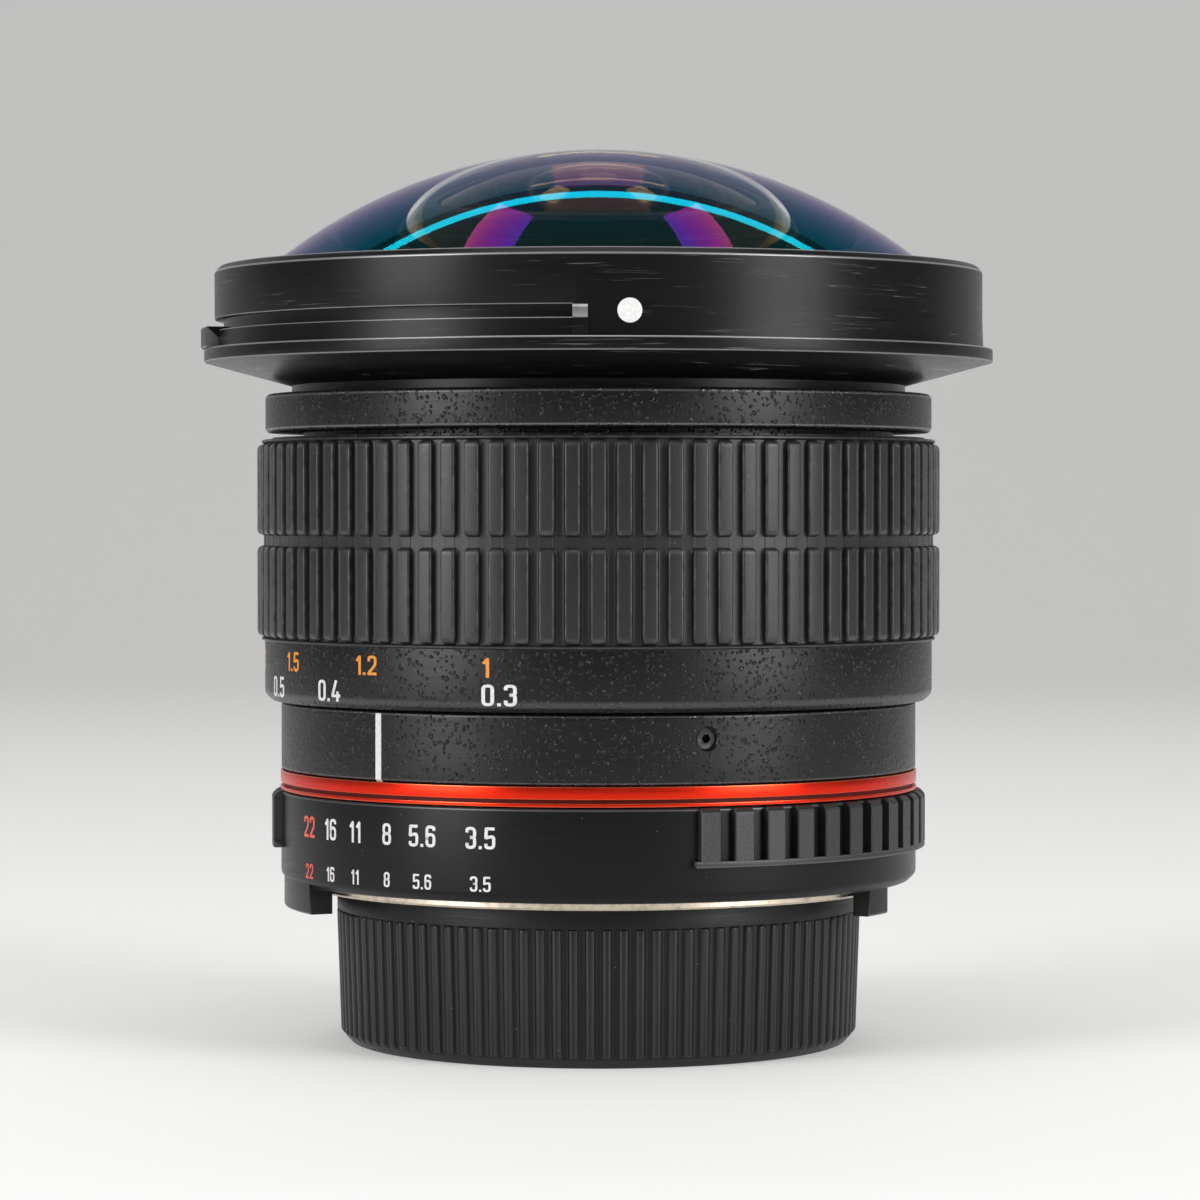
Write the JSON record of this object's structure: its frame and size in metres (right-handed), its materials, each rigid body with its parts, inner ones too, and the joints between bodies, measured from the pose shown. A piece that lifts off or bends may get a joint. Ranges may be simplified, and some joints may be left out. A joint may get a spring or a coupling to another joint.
{
  "type": "fisheye lens",
  "caption": "Manual-focus fisheye lens with a bulging front glass, ribbed rubber focus ring, clicking aperture ring with a working iris, fixed hood ring and a rear cap.",
  "frame": {"origin": "centre of the rear cap's underside, where the lens stands", "axes": "+Z along the lens axis towards the front glass; the index line and scales face -Y"},
  "size_m": [0.0781, 0.0778, 0.0879],
  "materials": {
    "mount_metal": "satin, slightly warm plated metal",
    "screw_steel": "satin",
    "spring_steel": "polished",
    "blade_steel": "matt black",
    "tube_metal": "turned, satin",
    "inner_black": "matt black anodised",
    "cam_brass": "turned, greased",
    "crackle_paint": "painted, fine semi-matt crackle",
    "ring_paint": "painted, smooth semi-matt black",
    "hood_paint": "painted matt black, worn and scratched",
    "bezel_paint": "painted matt black",
    "accent_red": "red anodised",
    "grip_rubber": "moulded, matt",
    "cap_plastic": "moulded, matt",
    "coated_glass": "polished, purple and cyan coating",
    "inner_glass": "polished, coated"
  },
  "bodies": {
    "barrel": {"mount_flange": "mount_metal", "mount_screws": "screw_steel", "rear_baffle": "inner_black", "main_tube": "tube_metal", "index_barrel": "crackle_paint", "set_screws": "screw_steel", "accent_ring": "accent_red", "focus_stop_pin": "screw_steel", "front_barrel": "crackle_paint", "hood_ring": "hood_paint", "hood_screws": "screw_steel", "front_bezel": "bezel_paint", "front_cell": "inner_black", "front_element": "coated_glass", "second_element": "inner_glass", "second_retainer": "inner_black", "third_element": "inner_glass", "fourth_element": "inner_glass", "pair_retainer": "inner_black", "iris_base": "inner_black", "iris_retainer": "inner_black", "iris_screws": "screw_steel", "detent_spring": "spring_steel"},
    "focus_unit": {"focus_sleeve": "crackle_paint", "focus_grip": "grip_rubber", "cam_ring": "cam_brass", "cam_ring_screws": "screw_steel"},
    "focus_carriage": {"focus_cell": "inner_black", "cam_followers": "cam_brass", "fifth_element": "inner_glass", "sixth_element": "inner_glass", "seventh_element": "inner_glass", "eighth_element": "inner_glass", "ninth_element": "inner_glass", "tenth_element": "inner_glass", "front_spacer": "inner_black", "middle_spacer": "inner_black", "rear_spacer": "inner_black", "rear_retainer": "inner_black"},
    "aperture_unit": {"aperture_ring": "ring_paint", "ring_key": "screw_steel"},
    "iris_drive": {"iris_drive_ring": "tube_metal", "iris_drive_arm": "screw_steel", "stop_down_lever": "screw_steel"},
    "detent": {"detent_ball": "spring_steel"},
    "cap": {"rear_cap": "cap_plastic"},
    "blade_1": {"iris_blade_1": "blade_steel"},
    "blade_2": {"iris_blade_2": "blade_steel"},
    "blade_3": {"iris_blade_3": "blade_steel"},
    "blade_4": {"iris_blade_4": "blade_steel"},
    "blade_5": {"iris_blade_5": "blade_steel"},
    "blade_6": {"iris_blade_6": "blade_steel"}
  },
  "joints": [
    {"name": "focus_turn", "type": "hinge", "parent": "barrel", "child": "focus_unit", "pos_m": [0, 0, 0.0465], "axis": [0, 0, 1], "range_deg": [-26.5, 95.2]},
    {"name": "focus_shift", "type": "slide", "parent": "barrel", "child": "focus_carriage", "axis": [0, 0, 1], "range_m": [-0.0011, 0.00031]},
    {"name": "aperture_turn", "type": "hinge", "parent": "barrel", "child": "aperture_unit", "pos_m": [0, 0, 0.0204], "axis": [0, 0, 1], "range_deg": [-20, 23.8]},
    {"name": "iris_drive_turn", "type": "hinge", "parent": "barrel", "child": "iris_drive", "pos_m": [0, 0, 0.0478], "axis": [0, 0, 1], "range_deg": [-20, 23.8]},
    {"name": "blade_1_swing", "type": "hinge", "parent": "barrel", "child": "blade_1", "pos_m": [0.0104, 0, 0.049], "axis": [0, 0, 1], "range_deg": [-10.1, 12]},
    {"name": "blade_2_swing", "type": "hinge", "parent": "barrel", "child": "blade_2", "pos_m": [0.0052, 0.00901, 0.049], "axis": [0, 0, 1], "range_deg": [-10.1, 12]},
    {"name": "blade_3_swing", "type": "hinge", "parent": "barrel", "child": "blade_3", "pos_m": [-0.0052, 0.00901, 0.049], "axis": [0, 0, 1], "range_deg": [-10.1, 12]},
    {"name": "blade_4_swing", "type": "hinge", "parent": "barrel", "child": "blade_4", "pos_m": [-0.0104, 0, 0.049], "axis": [0, 0, 1], "range_deg": [-10.1, 12]},
    {"name": "blade_5_swing", "type": "hinge", "parent": "barrel", "child": "blade_5", "pos_m": [-0.0052, -0.00901, 0.049], "axis": [0, 0, 1], "range_deg": [-10.1, 12]},
    {"name": "blade_6_swing", "type": "hinge", "parent": "barrel", "child": "blade_6", "pos_m": [0.0052, -0.00901, 0.049], "axis": [0, 0, 1], "range_deg": [-10.1, 12]},
    {"name": "detent_travel", "type": "slide", "parent": "barrel", "child": "detent", "axis": [0.866, -0.5, 0], "range_m": [0, 0.00025], "stiffness_N_per_m": 150, "deforming": ["detent_spring"]},
    {"name": "cap_pull", "type": "slide", "parent": "barrel", "child": "cap", "axis": [0, 0, -1], "range_m": [0, 0.025]}
  ],
  "couplings": [
    {"joint": "focus_shift", "follows": "focus_turn", "m_per_rad": -0.0006589},
    {"joint": "iris_drive_turn", "follows": "aperture_turn", "ratio": 1},
    {"joint": "blade_1_swing", "follows": "aperture_turn", "ratio": 0.5023},
    {"joint": "blade_2_swing", "follows": "aperture_turn", "ratio": 0.5023},
    {"joint": "blade_3_swing", "follows": "aperture_turn", "ratio": 0.5023},
    {"joint": "blade_4_swing", "follows": "aperture_turn", "ratio": 0.5023},
    {"joint": "blade_5_swing", "follows": "aperture_turn", "ratio": 0.5023},
    {"joint": "blade_6_swing", "follows": "aperture_turn", "ratio": 0.5023}
  ]
}
